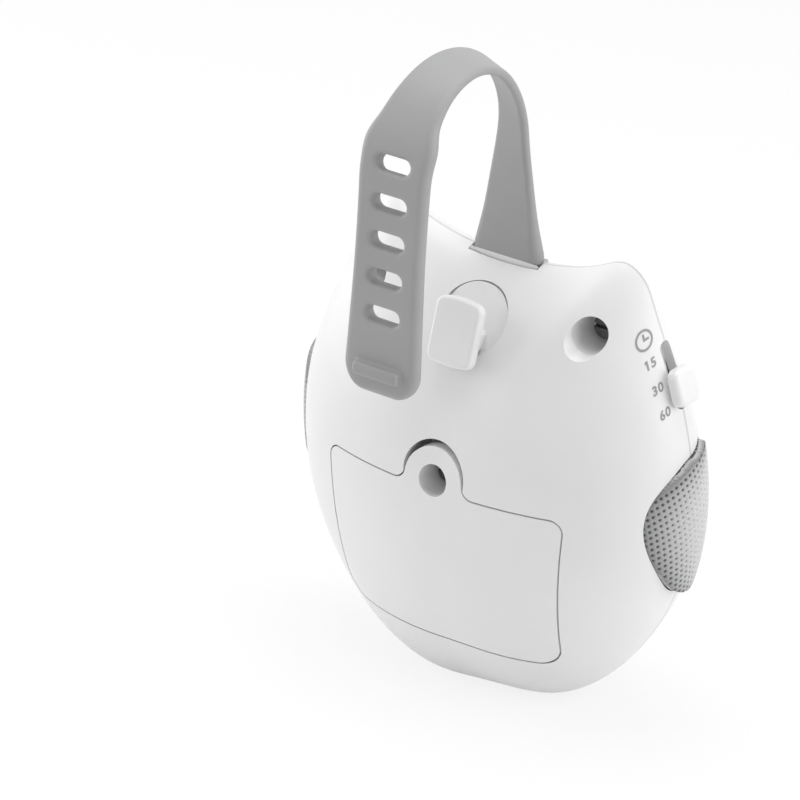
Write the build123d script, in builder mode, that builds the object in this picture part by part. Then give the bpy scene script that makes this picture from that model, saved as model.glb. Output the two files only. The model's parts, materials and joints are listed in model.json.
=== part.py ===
# A portable sleep soother: a pillow-shaped two-shell housing with two ear tips, mesh wings over
# side speakers, a battery door at the back, a timer slider on one side and a slotted soft strap.
# Millimetres, +Z up, base on Z = 0, shells part on the plane Y = 0, back towards +Y.
from build123d import *
import os
from math import cos, hypot, radians, sin

os.makedirs("parts", exist_ok=True)

# Housing
half_width = 47
ear_height = 99
centre_height_share = 0.465
rear_depth = 24.9
front_depth = 24
wall = 2.2
lip_height = 1.3
lip_clearance = 0.1
lip_foot = 4.5
# Half outline at the parting plane, from under the base up one side to the saddle between the ears
outline_shares = (
    (0, -0.035), (0.453, 0.003), (0.779, 0.155), (0.947, 0.318), (1, 0.481), (0.962, 0.65),
    (0.866, 0.798), (0.751, 0.927), (0.694, 0.977), (0.602, 1), (0.489, 0.982), (0.298, 0.952),
    (0, 0.937),
)
# The ears fade into a rounder crown away from the parting plane; the crown's points, one for each
# of the last points above, and the power of its curve
crown_x_shares = (0.83, 0.68, 0.59, 0.5, 0.4, 0.24, 0)
crown_power = 2.5
ear_fade_power = 1.3
# Powers of the curve from the parting plane to the middle of each face
rear_powers = {"side": 2.15, "top": 1.61, "bottom": 2.2}
front_powers = {"side": 1.9, "top": 1.7, "bottom": 2.1}
section_angles = (0, 14, 28, 42, 55, 66, 75, 82, 87)

# Battery door and bay
door_top = 49.2
door_bottom = 13.3
door_top_half_width = 29.2
door_bottom_half_width = 26.5
door_top_corner = 2.6
door_bottom_corner = 5
door_gap = 0.35
door_seat_clearance = 0.1
tongue_radius = 7
tongue_rise = 2
tongue_shoulder = 2.8
notch_radius = 7.5
notch_rise = 1
boss_radius = 5.6
boss_depth = 9.7
boss_floor_thickness = 2
boss_hole_radius = 3.4
bay_wall_outside = 1.6
bay_wall_inside = 1.4
bay_back = 2
bay_floor_thickness = 2.2
bay_corner = 2
door_skirt = 1.3
door_ledge = 14

# Cells and their contacts
cell_radius = 5.25
cell_length = 44.5
cell_pitch = 10.9
cell_nub_radius = 1.9
cell_nub_height = 0.8
cell_clearance = 0.05
contact_room = 2.55
contact_thickness = 0.5
contact_width = 9.4
contact_height = 8
contact_dome_radius = 2.6
contact_taper = 25
contact_clearance = 0.05

# Screws
screw_head_radius = 2.6
screw_head_height = 1.8
screw_radius = 1.3
screw_length = 10
screw_slot_width = 0.8
screw_slot_depth = 0.7
screw_clearance = 0.3
thread_clearance = 0.02
ear_screw_x_share = 0.566
ear_screw_z_share = 0.868
bay_screw_spread = 14
screw_seat = 2.4
ear_hole_radius = 3.8
ear_pillar_radius = 5
flare_start_share = 0.42
flare_depth = 3
flare_angle = 20
pillar_radius = 3.4

# Strap and its root
root_rise = 1.74
root_width = 16.6
root_thickness = 4
root_end_play = 0.15
root_slot_clearance = 0.3
hinge_clearance = 0.3
leg_length = 25.4
arch_radius = 19.8
tail_length = 42
tail_tilt = 3.8
tail_thickness = 3.3
tail_width = 17.2
tail_end_corner = 6
tail_end_margin = 0.4
# Along the strap: share of its length, share of the tail's width, share of its thickness, twist
strap_shares = (
    (0, 0.95, 1.2, 0), (0.055, 0.79, 0.79, 4), (0.117, 0.663, 0.62, 9), (0.21, 0.512, 0.6, 18),
    (0.296, 0.5, 0.58, 21), (0.374, 0.564, 0.58, 14), (0.452, 0.64, 0.62, 6),
    (0.53, 0.745, 0.74, 1), (0.607, 0.93, 0.94, 0), (0.67, 0.942, 1, 0), (0.78, 0.95, 1, 0),
    (0.9, 0.965, 1, 0), (1, 1, 1, 0),
)
anchor_width = 24
anchor_height = 4
anchor_thickness = 6
anchor_drop = 5.7
strap_slot_length = 8.6
strap_slot_height = 3.8
strap_slot_pitch = 8.7
strap_slot_count = 5
strap_slot_from_end = 16.6
grip_length = 11
grip_height = 2.8
grip_rise = 1.3
grip_from_end = 6.2

# Stud that the strap hooks on
stud_y_share = 0.461
stud_z_share = 0.8354
stud_tilt = 30
stud_disc_radius = 7.7
stud_disc_thickness = 2
stud_gap = 0.35
stud_boss_radius = 9.6
stud_boss_depth = 1.8
head_reach = 7.4
head_drop = 0.5
head_tilt = 17
head_width = 11
head_length = 12.8
head_bow = 0.7
head_thickness = 2
head_corner = 2
head_edge = 0.8
stem_width = 8
stem_height = 4.6
stem_drop = 1.2
stem_corner = 1.2
stem_length = 6
stud_screw_drop = 4
stud_screw_length = 5

# Wings: mesh, grille and speaker
wing_y_share = -0.08
wing_z_share = 0.47
wing_half_length = 13
wing_half_height = 15.5
wing_gap = 0.25
wing_inside_share = 0.69
wing_bulge = 2
wing_rear_loss = 4.3
wing_front_loss = 1.6
mesh_thickness = 0.9
grille_thickness = 1.2
grille_clearance = 0.05
grille_flange = 2
grille_skirt = 1.2
grille_hole_radius = 1
grille_hole_pitch = 1.9
grille_hole_count = 5
tip_y_share = -0.25
tip_z_share = 1.07
rear_wing_shares = ((0, -1), (0.68, -0.64), (1, 0), (0.87, 0.54), (0.37, 0.9))
front_wing_shares = ((0, -1), (-0.68, -0.64), (-1, 0), (-0.82, 0.58))
speaker_radius = 8.6
speaker_clearance = 0.2
speaker_tube_wall = 1
speaker_face_share = 0.777
speaker_depth = 3
speaker_rim = 1
speaker_rim_inner_radius = 7.3
speaker_cup_radius = 5.6
basket_wall = 0.8
magnet_radius = 5
magnet_depth = 2.4
cone_thickness = 0.4
cone_depth = 1.8
cone_outer_radius = 8.1
cone_edge_radius = 6.8
dust_cap_radius = 2.9
dust_cap_rise = 0.8

# Circuit board and push buttons
board_y = -7.6
board_thickness = 1.6
board_half_width = 21
board_bottom = 29.8
board_top = 70
board_corner = 3
board_boss_radius = 2.6
board_screw_head_radius = 2
board_screw_head_height = 1.2
board_screw_radius = 0.95
board_screw_length = 6
board_upper_spread = 17
board_lower_spread = 8
board_upper_inset = 4
board_lower_inset = 2.9
play_radius = 9
small_radius = 4.5
play_height = 59
sound_height = 37
volume_height = 41
volume_spread = 15
button_clearance = 0.3
button_rise = 1.1
button_travel = 0.7
sleeve_wall = 1.5
sleeve_reach = 6.4
flange_clearance = 0.05
flange_rim = 1
flange_thickness = 1.2
plunger_gap = 0.15
switch_size = 6
switch_body_height = 3.4
switch_plunger_radius = 1.7

# Timer slider
timer_x_share = 0.8915
timer_z_share = 0.768
timer_tilt = 18
timer_step = 5.2
timer_slot_rise = 2.4
timer_slot_width = 3.6
timer_stem_length = 3.4
timer_clearance = 0.3
knob_length = 7.8
knob_width = 7
knob_rise = 2.4
knob_lift = 0.35
knob_corner = 2
knob_edge = 1.1
bezel_depth = 3.9
bezel_length = 15.2
bezel_width = 5.6
bezel_corner = 2
bezel_thickness = 1
pin_width = 1.2
pin_length = 2.4
timer_switch_length = 14
timer_switch_width = 5
timer_switch_height = 4

# Places that follow from the sizes above
overrun = ear_height
centre_height = centre_height_share * ear_height
bay_floor = bay_back + bay_floor_thickness
bay_middle = (door_top + door_bottom) / 2
bay_height = door_top - door_bottom - 2 * bay_wall_inside
bay_half_length = cell_length / 2 + contact_room
tongue_height = door_top + tongue_rise
notch_height = tongue_height + notch_rise
boss_end = rear_depth - boss_depth
boss_seat = boss_end - door_seat_clearance
cell_y = bay_floor + cell_clearance + cell_radius
cell_heights = (bay_middle - cell_pitch, bay_middle, bay_middle + cell_pitch)
contact_y = bay_floor + contact_clearance + contact_width / 2
contact_dome_height = contact_room - 2 * contact_clearance - contact_thickness
ear_screw_places = [
    (sign * ear_screw_x_share * half_width, ear_screw_z_share * ear_height) for sign in (-1, 1)
]
bay_screw_places = [(sign * bay_screw_spread, bay_middle - cell_pitch / 2) for sign in (-1, 1)]
screw_places = ear_screw_places + bay_screw_places
flare_start = flare_start_share * rear_depth
root_height = outline_shares[-1][1] * ear_height + root_rise
root_half_length = root_width / 2 - root_end_play - root_thickness / 2
arch_sweep = radians(180 - tail_tilt)
strap_length = leg_length + arch_radius * arch_sweep + tail_length
wing_y = wing_y_share * rear_depth
wing_height = wing_z_share * ear_height
wing_inside = wing_inside_share * half_width
speaker_face = speaker_face_share * half_width
speaker_back = speaker_face - speaker_depth
board_back = board_y + board_thickness
board_screw_places = [
    (sign * spread, height)
    for spread, height in (
        (board_upper_spread, board_top - board_upper_inset),
        (board_lower_spread, board_bottom + board_lower_inset),
    )
    for sign in (-1, 1)
]
play_place = (0, play_height)
sound_place = (0, sound_height)
volume_up_place = (volume_spread, volume_height)
volume_down_place = (-volume_spread, volume_height)
small_places = (sound_place, volume_up_place, volume_down_place)
sleeve_end = board_y - sleeve_reach
flange_front = sleeve_end + flange_clearance
flange_back = flange_front + flange_thickness
switch_front = board_y - switch_body_height
plunger_height = switch_front - flange_back - button_travel - plunger_gap
timer_slot_length = timer_stem_length + 2 * timer_step + 2 * timer_clearance
pin_slot_length = pin_width + 2 * timer_step + 2 * timer_clearance
pin_slot_width = pin_width + 2 * timer_clearance


def rear_plane(y):
    """Plane across the body at Y = y whose sketches rise along +Z and extrude backwards."""
    return Plane(origin=(0, y, 0), x_dir=(-1, 0, 0), z_dir=(0, 1, 0))


def front_plane(y):
    """Plane across the body at Y = y whose sketches rise along +Z and extrude forwards."""
    return Plane(origin=(0, y, 0), x_dir=(1, 0, 0), z_dir=(0, -1, 0))


def rear_spot(x, y, z):
    """Plane centred on a point whose sketches rise along +Z and extrude backwards."""
    return Plane(origin=(x, y, z), x_dir=(-1, 0, 0), z_dir=(0, 1, 0))


def crown_outline():
    """Shares of the half outline with a plain rounded crown in place of the ears."""
    kept = outline_shares[: -len(crown_x_shares)]
    side_share = outline_shares[4][1]
    rise_share = outline_shares[-1][1] - side_share
    crown = [
        (x_share, side_share + rise_share * (1 - x_share**crown_power) ** (1 / crown_power))
        for x_share in crown_x_shares
    ]
    return [*kept, *crown]


def outline(inset, depth_share):
    """Half outline measured from the centre and drawn in by inset; the ears fade with the depth."""
    ear_share = (1 - depth_share) ** ear_fade_power
    points = []
    for (eared_x, eared_z), (crown_x, crown_z) in zip(outline_shares, crown_outline()):
        x = (crown_x + (eared_x - crown_x) * ear_share) * half_width
        z = (crown_z + (eared_z - crown_z) * ear_share) * ear_height - centre_height
        kept_share = 1 - inset / hypot(x, z)
        points.append((x * kept_share, z * kept_share))
    return points


def outline_steps():
    """Lengths along the parting outline at its points, so that every section is divided alike."""
    right = outline(0, 0)
    left = [(-x, z) for x, z in right[-2::-1]]
    loop = right + left
    steps = [0]
    for (x0, z0), (x1, z1) in zip(loop, loop[1:]):
        steps.append(steps[-1] + hypot(x1 - x0, z1 - z0))
    return [step / steps[-1] for step in steps]


def section(side, depth, powers, inset, angle):
    """Closed section of the pillow; angle runs from 0 at the parting plane to 90 at the face."""
    depth_share = sin(radians(angle))
    right = []
    for x, z in outline(inset, depth_share):
        rise_share = z / hypot(x, z)
        end_power = powers["top"] if z > 0 else powers["bottom"]
        power = powers["side"] + (end_power - powers["side"]) * rise_share**2
        width_share = (1 - depth_share**power) ** (1 / power)
        right.append((x * width_share, centre_height + z * width_share))
    left = [(-x, z) for x, z in right[-2:0:-1]]
    with BuildSketch(front_plane(side * depth * depth_share)) as profile:
        with BuildLine():
            add(Edge.make_spline(right + left, periodic=True, parameters=outline_steps()))
        make_face()
    return profile.sketch


def half_pillow(side, inset, depth):
    """Solid back half (side 1) or front half (side -1) of the pillow."""
    powers = rear_powers if side > 0 else front_powers
    with BuildPart() as half:
        loft(sections=[section(side, depth, powers, inset, angle) for angle in section_angles])
    return half.part


def rear_pillow(inset):
    """Back half of the housing, drawn in all over by inset."""
    return half_pillow(1, inset, rear_depth - inset)


def front_pillow(inset):
    """Front half of the housing, drawn in all over by inset."""
    return half_pillow(-1, inset, front_depth - inset)


def whole_pillow(inset):
    """Both halves of the housing, drawn in all over by inset."""
    with BuildPart() as whole:
        add(rear_pillow(inset))
        add(front_pillow(inset))
    return whole.part


def wing_pillow(inset):
    """The fuller pillow that the wings bulge to, drawn in by inset."""
    with BuildPart() as whole:
        add(half_pillow(1, inset - wing_bulge, rear_depth - wing_rear_loss - inset))
        add(half_pillow(-1, inset - wing_bulge, front_depth - wing_front_loss - inset))
    return whole.part


def wing_prism(grow):
    """Prism along X with the wing's drop-shaped outline, pointed at the top."""
    def place(y_share, z_share):
        y = wing_y + y_share * (wing_half_length + grow)
        return (y, wing_height + z_share * (wing_half_height + grow))

    tip = place(tip_y_share, tip_z_share)
    rear_edge = [place(y_share, z_share) for y_share, z_share in rear_wing_shares]
    front_edge = [place(y_share, z_share) for y_share, z_share in front_wing_shares]
    with BuildPart() as prism:
        with BuildSketch(Plane.YZ.offset(wing_inside)):
            with BuildLine():
                Spline(*rear_edge, tip, tangents=((1, 0), (-0.95, 0.3)))
                Spline(*front_edge, tip, tangents=((-1, 0), (0.85, 0.5)))
            make_face()
        extrude(amount=half_width)
    return prism.part


def door_profile(plane, grow, with_tongue):
    """Outline of the battery door, grown all round, with or without the screw tongue."""
    top_x = door_top_half_width + grow
    bottom_x = door_bottom_half_width + grow
    top = door_top + grow
    bottom = door_bottom - grow
    with BuildSketch(plane) as profile:
        with BuildLine():
            Polyline((-bottom_x, bottom), (bottom_x, bottom), (top_x, top), (-top_x, top), close=True)
        make_face()
        fillet(profile.vertices().group_by(Axis.Y)[-1], radius=door_top_corner + grow)
        fillet(profile.vertices().group_by(Axis.Y)[0], radius=door_bottom_corner + grow)
        if with_tongue:
            with Locations((0, tongue_height)):
                Circle(tongue_radius + grow)
            reach = tongue_radius + grow
            inner = profile.vertices().filter_by_position(Axis.X, -reach, reach)
            fillet(inner.group_by(Axis.Y)[-1], radius=tongue_shoulder - grow)
    return profile.sketch


def screw(head_radius, head_height, radius, length, plane):
    """Slotted pan-head screw whose head seats on the plane, with the shank below it."""
    with BuildPart() as body:
        with BuildSketch(plane):
            Circle(head_radius)
        extrude(amount=head_height)
        with BuildSketch(plane):
            Circle(radius)
        extrude(amount=-length)
        with BuildSketch(plane.offset(head_height - screw_slot_depth)):
            Rectangle(2 * head_radius, screw_slot_width)
        extrude(amount=screw_slot_depth, mode=Mode.SUBTRACT)
    return body.part


def small_screw(length, plane):
    """Screw of the smaller size, for the circuit board and the stud."""
    return screw(board_screw_head_radius, board_screw_head_height, board_screw_radius, length, plane)


def cell(height, sign):
    """One dry cell lying along X, with its nub towards +X (sign 1) or -X (sign -1)."""
    start = -cell_length / 2
    can_length = cell_length - cell_nub_height
    with BuildPart() as body:
        with BuildSketch(Plane.YZ.offset(start)):
            with Locations((cell_y, height)):
                Circle(cell_radius)
        extrude(amount=can_length)
        with BuildSketch(Plane.YZ.offset(start + can_length)):
            with Locations((cell_y, height)):
                Circle(cell_nub_radius)
        extrude(amount=cell_nub_height)
    return body.part if sign > 0 else body.part.mirror(Plane.YZ)


def contact(heights, sign):
    """Spring plate at one end of the bay, with a dome for each cell that it touches."""
    plate_x = bay_half_length - contact_clearance - contact_thickness
    inward = Plane(origin=(plate_x, 0, 0), x_dir=(0, -1, 0), z_dir=(-1, 0, 0))
    span = heights[-1] - heights[0]
    with BuildPart() as plate:
        with BuildSketch(Plane.YZ.offset(plate_x)):
            with Locations((contact_y, heights[0] + span / 2)):
                Rectangle(contact_width, contact_height + span)
        extrude(amount=contact_thickness)
        with BuildSketch(inward):
            with Locations(*[(-cell_y, height) for height in heights]):
                Circle(contact_dome_radius)
        extrude(amount=contact_dome_height, taper=contact_taper)
    return plate.part if sign > 0 else plate.part.mirror(Plane.YZ)


def button(place, radius):
    """Push button: a cap that follows the front face and a flange behind the sleeve."""
    with BuildPart() as cap:
        with BuildSketch(front_plane(flange_back)):
            with Locations(place):
                Circle(radius)
        extrude(amount=overrun)
        add(button_face, mode=Mode.INTERSECT)
        with BuildSketch(front_plane(flange_back)):
            with Locations(place):
                Circle(radius + button_clearance + flange_rim)
        extrude(amount=flange_thickness)
    return cap.part


def strap_place(length):
    """Point on the strap's middle line at a length from the root, and the arch angle there."""
    arch_length = arch_radius * arch_sweep
    if length < leg_length:
        return 0, root_height + length, 0
    angle = min((length - leg_length) / arch_radius, arch_sweep)
    past = max(length - leg_length - arch_length, 0)
    y = arch_radius * (1 - cos(angle)) + past * sin(angle)
    z = root_height + leg_length + arch_radius * sin(angle) + past * cos(angle)
    return y, z, angle


def strap_section(length_share, width_share, thickness_share, twist):
    """Rounded cross section of the strap, turned about its middle line by twist."""
    y, z, angle = strap_place(length_share * strap_length)
    turn = radians(twist)
    plane = Plane(
        origin=(0, y, z),
        x_dir=(cos(turn), -sin(turn) * cos(angle), sin(turn) * sin(angle)),
        z_dir=(0, sin(angle), cos(angle)),
    )
    with BuildSketch(plane) as profile:
        SlotOverall(width_share * tail_width, thickness_share * tail_thickness)
    return profile.sketch


def strap_face(from_end, lift):
    """Plane on the strap's outer side at a length from its free end, lifted off the middle line."""
    y, z, angle = strap_place(strap_length - from_end)
    outward = (0, -cos(angle), sin(angle))
    return Plane(origin=(0, y, z), x_dir=(1, 0, 0), z_dir=outward).offset(lift)


# Pillow solids and planes that several pieces are cut from
with BuildPart() as rear_block:
    add(rear_pillow(0))
    split(bisect_by=Plane.XY, keep=Keep.TOP)
with BuildPart() as front_block:
    add(front_pillow(0))
    split(bisect_by=Plane.XY, keep=Keep.TOP)
with BuildPart() as rear_cavity:
    add(rear_pillow(wall))
    split(bisect_by=Plane.XY.offset(wall), keep=Keep.TOP)
with BuildPart() as front_cavity:
    add(front_pillow(wall))
    split(bisect_by=Plane.XY.offset(wall), keep=Keep.TOP)
button_face = front_pillow(-button_rise)
wing_window = wing_prism(wing_gap)
timer_plane = Plane(
    origin=(-timer_x_share * half_width, 0, timer_z_share * ear_height),
    x_dir=(sin(radians(timer_tilt)), 0, cos(radians(timer_tilt))),
    z_dir=(-cos(radians(timer_tilt)), 0, sin(radians(timer_tilt))),
)
stud_plane = Plane(
    origin=(0, stud_y_share * rear_depth, stud_z_share * ear_height),
    x_dir=(-1, 0, 0),
    z_dir=(0, cos(radians(stud_tilt)), sin(radians(stud_tilt))),
)
head_plane = Plane(
    origin=(0, stud_y_share * rear_depth + head_reach, stud_z_share * ear_height - head_drop),
    x_dir=(-1, 0, 0),
    z_dir=(0, cos(radians(head_tilt)), sin(radians(head_tilt))),
)
head_corners = [
    (x_sign * head_width / 2, y_sign * head_length / 2)
    for x_sign, y_sign in ((-1, 1), (1, 1), (1, -1), (-1, -1))
]
stud_screw_plane = stud_plane.offset(-stud_disc_thickness - stud_boss_depth)
speaker_plane = Plane(origin=(0, wing_y, wing_height), x_dir=(1, 0, 0), z_dir=(0, -1, 0))
speaker_axis = Axis((0, wing_y, wing_height), (1, 0, 0))

# Openings that both shells share
with BuildPart() as shell_openings:
    with BuildSketch(Plane.XY.offset(root_height - anchor_drop)):
        Rectangle(root_width + 2 * root_slot_clearance, root_thickness + 2 * root_slot_clearance)
    extrude(amount=overrun)
    with BuildSketch(timer_plane.offset(-bezel_depth)):
        with Locations((timer_slot_rise, 0)):
            SlotOverall(timer_slot_length, timer_slot_width)
    extrude(amount=overrun)
    add(wing_window)
    add(wing_window.mirror(Plane.YZ))

# Hollow of the rear shell, left standing round its pillars and the battery bay
with BuildPart() as rear_ribs:
    extrude(door_profile(rear_plane(bay_back), bay_wall_outside, False), amount=overrun)
    with BuildSketch(rear_plane(0)):
        with Locations(*ear_screw_places):
            Circle(ear_pillar_radius)
    extrude(amount=overrun)
    with BuildSketch(rear_plane(0)):
        with Locations(*bay_screw_places):
            Circle(pillar_radius)
    extrude(amount=bay_floor)
    with BuildSketch(rear_plane(bay_back)):
        with Locations((0, tongue_height)):
            Circle(pillar_radius)
    extrude(amount=boss_seat - bay_back)
    with BuildSketch(rear_plane(boss_seat - wall)):
        with Locations((0, notch_height)):
            Circle(notch_radius + bay_wall_outside)
    extrude(amount=overrun)
    with BuildSketch(stud_screw_plane):
        Circle(stud_boss_radius)
    extrude(amount=overrun)
rear_hollow = rear_cavity.part.cut(rear_ribs.part)

# Everything cut into the rear shell: door opening, screw holes, stud recess, side openings
with BuildPart() as rear_cuts:
    extrude(door_profile(rear_plane(door_ledge), door_gap, False), amount=overrun)
    extrude(door_profile(rear_plane(boss_seat), door_gap, True), amount=overrun)
    with BuildSketch(rear_plane(bay_floor)):
        with Locations((0, bay_middle)):
            RectangleRounded(2 * bay_half_length, bay_height, bay_corner)
    extrude(amount=overrun)
    with BuildSketch(rear_plane(boss_seat)):
        with Locations((0, notch_height)):
            Circle(notch_radius)
    extrude(amount=overrun)
    with BuildSketch(rear_plane(0)):
        with Locations((0, tongue_height), *screw_places):
            Circle(screw_radius + screw_clearance)
    extrude(amount=boss_end)
    with BuildSketch(rear_plane(screw_seat)):
        with Locations(*bay_screw_places):
            Circle(screw_head_radius + screw_clearance)
        with Locations(*ear_screw_places):
            Circle(ear_hole_radius)
    extrude(amount=overrun)
    with BuildSketch(rear_plane(flare_start)):
        with Locations(*ear_screw_places):
            Circle(ear_hole_radius)
    extrude(amount=flare_depth, taper=-flare_angle)
    with BuildSketch(stud_plane.offset(-stud_disc_thickness)):
        Circle(stud_disc_radius + stud_gap)
    extrude(amount=overrun)
    with BuildSketch(stud_screw_plane):
        with Locations((0, -stud_screw_drop)):
            Circle(board_screw_radius + screw_clearance)
    extrude(amount=overrun)
    add(shell_openings.part)

# Lip that locates the front shell, and the groove it enters
with BuildPart() as lip:
    extrude(section(1, rear_depth, rear_powers, wall / 2 + lip_clearance, 0), amount=lip_height)
    extrude(section(1, rear_depth, rear_powers, wall, 0), amount=lip_height, mode=Mode.SUBTRACT)
    split(bisect_by=Plane.XY.offset(lip_foot + lip_clearance), keep=Keep.TOP)
with BuildPart() as lip_groove:
    extrude(section(-1, front_depth, front_powers, wall / 2, 0), amount=lip_height + lip_clearance)
    extrude(section(-1, front_depth, front_powers, wall, 0), amount=overrun, mode=Mode.SUBTRACT)
    split(bisect_by=Plane.XY.offset(lip_foot), keep=Keep.TOP)

# Rear shell with the battery bay and the stud seat
with BuildPart() as rear_shell:
    add(rear_block.part)
    add(rear_hollow, mode=Mode.SUBTRACT)
    add(lip.part)
    add(rear_cuts.part, mode=Mode.SUBTRACT)
rear_shell.part.label = "rear_shell"
export_step(rear_shell.part, "parts/rear_shell.step")

# Hollow of the front shell, left standing round its pillars, bosses and button sleeves
with BuildPart() as front_ribs:
    with BuildSketch(front_plane(0)):
        with Locations(*screw_places):
            Circle(pillar_radius)
    extrude(amount=overrun)
    with BuildSketch(front_plane(board_y)):
        with Locations(*board_screw_places):
            Circle(board_boss_radius)
    extrude(amount=overrun)
    with BuildSketch(front_plane(sleeve_end)):
        with Locations(play_place):
            Circle(play_radius + button_clearance + sleeve_wall)
        with Locations(*small_places):
            Circle(small_radius + button_clearance + sleeve_wall)
    extrude(amount=overrun)
front_hollow = front_cavity.part.cut(front_ribs.part)

# Everything cut into the front shell: groove, button holes, screw holes, side openings
with BuildPart() as front_cuts:
    add(lip_groove.part)
    with BuildSketch(front_plane(sleeve_end)):
        with Locations(play_place):
            Circle(play_radius + button_clearance)
        with Locations(*small_places):
            Circle(small_radius + button_clearance)
    extrude(amount=overrun)
    with BuildSketch(front_plane(0)):
        with Locations(*screw_places):
            Circle(screw_radius + thread_clearance)
    extrude(amount=screw_length - screw_seat + screw_clearance)
    with BuildSketch(front_plane(board_y)):
        with Locations(*board_screw_places):
            Circle(board_screw_radius + thread_clearance)
    extrude(amount=board_screw_length)
    add(shell_openings.part)

# Front shell
with BuildPart() as front_shell:
    add(front_block.part)
    add(front_hollow, mode=Mode.SUBTRACT)
    add(front_cuts.part, mode=Mode.SUBTRACT)
front_shell.part.label = "front_shell"
export_step(front_shell.part, "parts/front_shell.step")

# Battery door with the screw boss and a skirt that stands on the bay's ledge
with BuildPart() as door_inside:
    extrude(door_profile(rear_plane(door_ledge + door_seat_clearance), 0, False), amount=overrun)
    extrude(door_profile(rear_plane(door_ledge), -door_skirt, False), amount=overrun, mode=Mode.SUBTRACT)
    with BuildSketch(rear_plane(boss_end)):
        with Locations((0, tongue_height)):
            Circle(boss_radius)
    extrude(amount=overrun)
door_hollow = rear_pillow(wall).cut(door_inside.part)
with BuildPart() as battery_door:
    extrude(door_profile(rear_plane(door_ledge), 0, True), amount=overrun)
    add(rear_block.part, mode=Mode.INTERSECT)
    add(door_hollow, mode=Mode.SUBTRACT)
    with BuildSketch(rear_plane(boss_end + boss_floor_thickness)):
        with Locations((0, tongue_height)):
            Circle(boss_hole_radius)
    extrude(amount=overrun, mode=Mode.SUBTRACT)
    with BuildSketch(rear_plane(boss_end)):
        with Locations((0, tongue_height)):
            Circle(screw_radius + thread_clearance)
    extrude(amount=overrun, mode=Mode.SUBTRACT)
battery_door.part.label = "battery_door"
export_step(battery_door.part, "parts/battery_door.step")

# Screws
with BuildPart() as door_screw:
    seat = rear_spot(0, boss_end + boss_floor_thickness, tongue_height)
    add(screw(screw_head_radius, screw_head_height, screw_radius, screw_length, seat))
door_screw.part.label = "door_screw"
export_step(door_screw.part, "parts/door_screw.step")

with BuildPart() as shell_screws:
    for x, z in screw_places:
        seat = rear_spot(x, screw_seat, z)
        add(screw(screw_head_radius, screw_head_height, screw_radius, screw_length, seat))
shell_screws.part.label = "shell_screws"
export_step(shell_screws.part, "parts/shell_screws.step")

with BuildPart() as board_screws:
    for x, z in board_screw_places:
        add(small_screw(board_screw_length, rear_spot(x, board_back, z)))
board_screws.part.label = "board_screws"
export_step(board_screws.part, "parts/board_screws.step")

with BuildPart() as stud_screw:
    spot = stud_screw_plane.from_local_coords((0, -stud_screw_drop, 0))
    add(small_screw(stud_screw_length, Plane(origin=spot, x_dir=(1, 0, 0), z_dir=-stud_plane.z_dir)))
stud_screw.part.label = "stud_screw"
export_step(stud_screw.part, "parts/stud_screw.step")

# Dry cells and contact plates
with BuildPart() as battery_cell_1:
    add(cell(cell_heights[0], 1))
battery_cell_1.part.label = "battery_cell_1"
export_step(battery_cell_1.part, "parts/battery_cell_1.step")

with BuildPart() as battery_cell_2:
    add(cell(cell_heights[1], -1))
battery_cell_2.part.label = "battery_cell_2"
export_step(battery_cell_2.part, "parts/battery_cell_2.step")

with BuildPart() as battery_cell_3:
    add(cell(cell_heights[2], 1))
battery_cell_3.part.label = "battery_cell_3"
export_step(battery_cell_3.part, "parts/battery_cell_3.step")

with BuildPart() as contact_double_right:
    add(contact(cell_heights[:2], 1))
contact_double_right.part.label = "contact_double_right"
export_step(contact_double_right.part, "parts/contact_double_right.step")

with BuildPart() as contact_single_right:
    add(contact(cell_heights[2:], 1))
contact_single_right.part.label = "contact_single_right"
export_step(contact_single_right.part, "parts/contact_single_right.step")

with BuildPart() as contact_single_left:
    add(contact(cell_heights[:1], -1))
contact_single_left.part.label = "contact_single_left"
export_step(contact_single_left.part, "parts/contact_single_left.step")

with BuildPart() as contact_double_left:
    add(contact(cell_heights[1:], -1))
contact_double_left.part.label = "contact_double_left"
export_step(contact_double_left.part, "parts/contact_double_left.step")

# Soft strap, turning about the rounded root at its lower end
with BuildPart() as strap:
    loft(sections=[strap_section(*shares) for shares in strap_shares])
    with BuildSketch(Plane.YZ.offset(-root_half_length)):
        with Locations((0, root_height)):
            Circle(root_thickness / 2)
    extrude(amount=2 * root_half_length)
    with Locations((root_half_length, 0, root_height), (-root_half_length, 0, root_height)):
        Sphere(root_thickness / 2)
    for index in range(strap_slot_count):
        with BuildSketch(strap_face(strap_slot_from_end + index * strap_slot_pitch, -tail_thickness)):
            SlotOverall(strap_slot_length, strap_slot_height)
        extrude(amount=2 * tail_thickness, mode=Mode.SUBTRACT)
    with BuildSketch(strap_face(grip_from_end, 0)):
        SlotOverall(grip_length, grip_height)
    extrude(amount=tail_thickness / 2 + grip_rise)
    with BuildSketch(rear_plane(-overrun)):
        with Locations((0, strap_place(strap_length)[1] + tail_end_margin + overrun)):
            RectangleRounded(tail_width + 2 * tail_end_margin, 2 * overrun, tail_end_corner)
    extrude(amount=2 * overrun, mode=Mode.INTERSECT)
strap.part.label = "strap"
export_step(strap.part, "parts/strap.step")

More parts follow.
